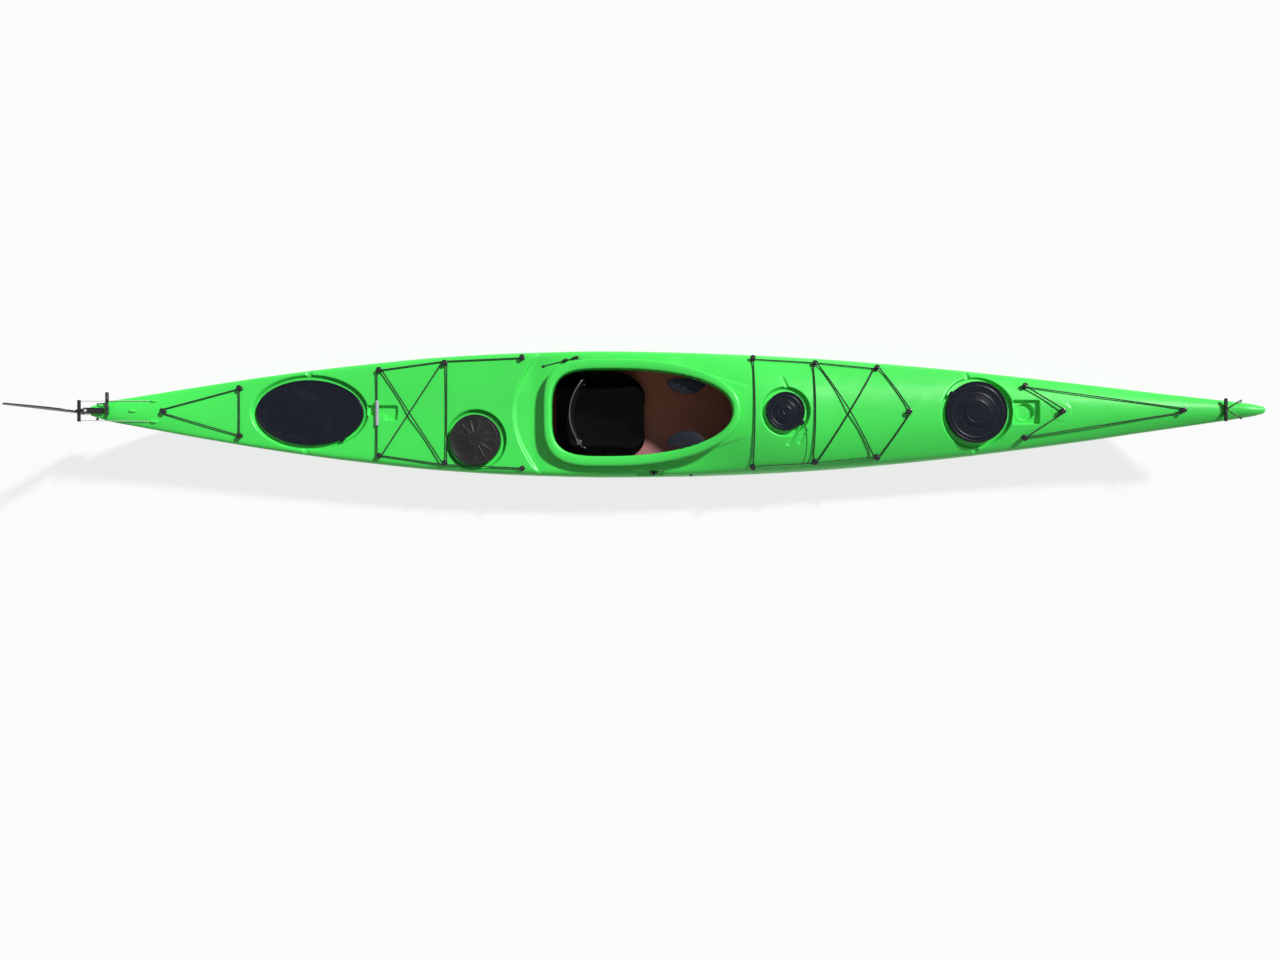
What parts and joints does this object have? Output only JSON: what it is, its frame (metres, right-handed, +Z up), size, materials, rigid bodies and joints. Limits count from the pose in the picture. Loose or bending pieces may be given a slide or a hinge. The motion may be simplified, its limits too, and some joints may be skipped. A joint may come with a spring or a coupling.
{
  "type": "sea kayak",
  "caption": "Touring sea kayak with rimmed cockpit, bucket seat, hatch covers, deck lines, foot pedals, drop-down skeg and an over-stern rudder that folds up.",
  "frame": {"origin": "middle of the hull's length, on the flat of the keel", "axes": "+X to the bow, +Y to port, +Z up"},
  "size_m": [5.4308, 0.58, 0.5885],
  "materials": {
    "green_plastic": "moulded polyethylene, satin gloss",
    "black_rubber": "moulded, matt to satin",
    "black_plastic": "fine grain",
    "black_fabric": "coated cloth",
    "foam": "closed-cell foam",
    "stainless_steel": "polished",
    "aluminium": "anodised",
    "black_cord": "braided cord"
  },
  "bodies": {
    "hull_body": {"hull": "green_plastic", "aft_bungee_loop": "black_cord", "aft_fairlead_front_left": "black_plastic", "aft_fairlead_front_right": "black_plastic", "aft_fairlead_mid_left": "black_plastic", "aft_fairlead_mid_right": "black_plastic", "aft_fairlead_rear_left": "black_plastic", "aft_fairlead_rear_right": "black_plastic", "aft_rope_left": "black_cord", "aft_rope_right": "black_cord", "bow_bungee": "black_cord", "bow_fairlead_front": "black_plastic", "bow_fairlead_left": "black_plastic", "bow_fairlead_rear": "black_plastic", "bow_fairlead_right": "black_plastic", "bow_rope": "black_cord", "bulkhead_aft": "foam", "bulkhead_fore": "foam", "bulkhead_stern": "foam", "foot_rail_left": "aluminium", "foot_rail_right": "aluminium", "fore_bungee_cross": "black_cord", "fore_bungee_loop": "black_cord", "fore_fairlead_centre": "black_plastic", "fore_fairlead_front_left": "black_plastic", "fore_fairlead_front_right": "black_plastic", "fore_fairlead_mid_left": "black_plastic", "fore_fairlead_mid_right": "black_plastic", "fore_fairlead_rear_left": "black_plastic", "fore_fairlead_rear_right": "black_plastic", "fore_hatch_pod": "black_fabric", "fore_rope_left": "black_cord", "fore_rope_right": "black_cord", "rudder_mount": "black_plastic", "rudder_pin": "stainless_steel", "rudder_wire_left": "stainless_steel", "rudder_wire_right": "stainless_steel", "seat_pan": "black_plastic", "skeg_pin": "stainless_steel", "stern_bungee": "black_cord", "stern_fairlead_centre": "black_plastic", "stern_fairlead_left": "black_plastic", "stern_fairlead_right": "black_plastic", "stern_rope": "black_cord", "thigh_brace_left": "black_rubber", "thigh_brace_right": "black_rubber"},
    "backrest": {"backrest": "black_plastic"},
    "stern_cover": {"stern_hatch_cover": "black_rubber"},
    "day_cover": {"day_hatch_cover": "black_rubber"},
    "fore_cover": {"fore_hatch_cover": "black_rubber"},
    "bow_cover": {"bow_hatch_cover": "black_rubber"},
    "pedal_left": {"foot_pedal_left": "black_plastic"},
    "pedal_right": {"foot_pedal_right": "black_plastic"},
    "skeg": {"skeg_blade": "black_plastic"},
    "slider": {"skeg_slider": "black_plastic"},
    "rudder_head": {"rudder_head": "black_plastic", "rudder_blade_bolt": "stainless_steel"},
    "rudder_blade": {"rudder_blade": "black_plastic"},
    "bow_toggle": {"bow_toggle": "black_plastic"},
    "stern_toggle": {"stern_toggle": "black_plastic"}
  },
  "joints": [
    {"name": "stern_cover_lift", "type": "slide", "parent": "hull_body", "child": "stern_cover", "axis": [0.0427, 0, 0.9991], "range_m": [0, 0.2]},
    {"name": "day_cover_lift", "type": "slide", "parent": "hull_body", "child": "day_cover", "axis": [0.0138, 0, 0.9999], "range_m": [0, 0.2]},
    {"name": "fore_cover_lift", "type": "slide", "parent": "hull_body", "child": "fore_cover", "axis": [0.038, 0, 0.9993], "range_m": [0, 0.2]},
    {"name": "bow_cover_lift", "type": "slide", "parent": "hull_body", "child": "bow_cover", "axis": [-0.0029, 0, 1], "range_m": [0, 0.2]},
    {"name": "backrest_tilt", "type": "hinge", "parent": "hull_body", "child": "backrest", "pos_m": [-0.41416, 0, 0.1], "axis": [0, 1, 0], "range_deg": [-15, 40]},
    {"name": "rudder_yaw", "type": "hinge", "parent": "hull_body", "child": "rudder_head", "pos_m": [-2.615, 0, 0.28], "axis": [0, 0, 1], "range_deg": [-35, 35], "deforming": ["rudder_wire_left", "rudder_wire_right"]},
    {"name": "rudder_flip", "type": "hinge", "parent": "rudder_head", "child": "rudder_blade", "pos_m": [-2.673, 0, 0.25445], "axis": [0, 1, 0], "range_deg": [-151, 0]},
    {"name": "skeg_swing", "type": "hinge", "parent": "hull_body", "child": "skeg", "pos_m": [-1.85796, 0, 0.08564], "axis": [0, 1, 0], "range_deg": [-25, 11]},
    {"name": "skeg_slide", "type": "slide", "parent": "hull_body", "child": "slider", "axis": [1, 0, 0], "range_m": [-0.044, 0.0195]},
    {"name": "pedal_left_slide", "type": "slide", "parent": "hull_body", "child": "pedal_left", "axis": [0.9969, -0.0791, 0], "range_m": [-0.027, 0.027]},
    {"name": "pedal_right_slide", "type": "slide", "parent": "hull_body", "child": "pedal_right", "axis": [0.9969, 0.0791, 0], "range_m": [-0.027, 0.027]},
    {"name": "bow_toggle_swing", "type": "hinge", "parent": "hull_body", "child": "bow_toggle", "pos_m": [2.51316, 0, 0.33656], "axis": [0, 1, 0], "range_deg": [0, 100]},
    {"name": "stern_toggle_swing", "type": "hinge", "parent": "hull_body", "child": "stern_toggle", "pos_m": [-2.5818, 0, 0.29786], "axis": [0, 1, 0], "range_deg": [-90, 0]}
  ],
  "couplings": [
    {"joint": "pedal_left_slide", "follows": "rudder_yaw", "m_per_rad": -0.043},
    {"joint": "pedal_right_slide", "follows": "rudder_yaw", "m_per_rad": 0.043},
    {"joint": "skeg_slide", "follows": "skeg_swing", "m_per_rad": 0.1}
  ]
}
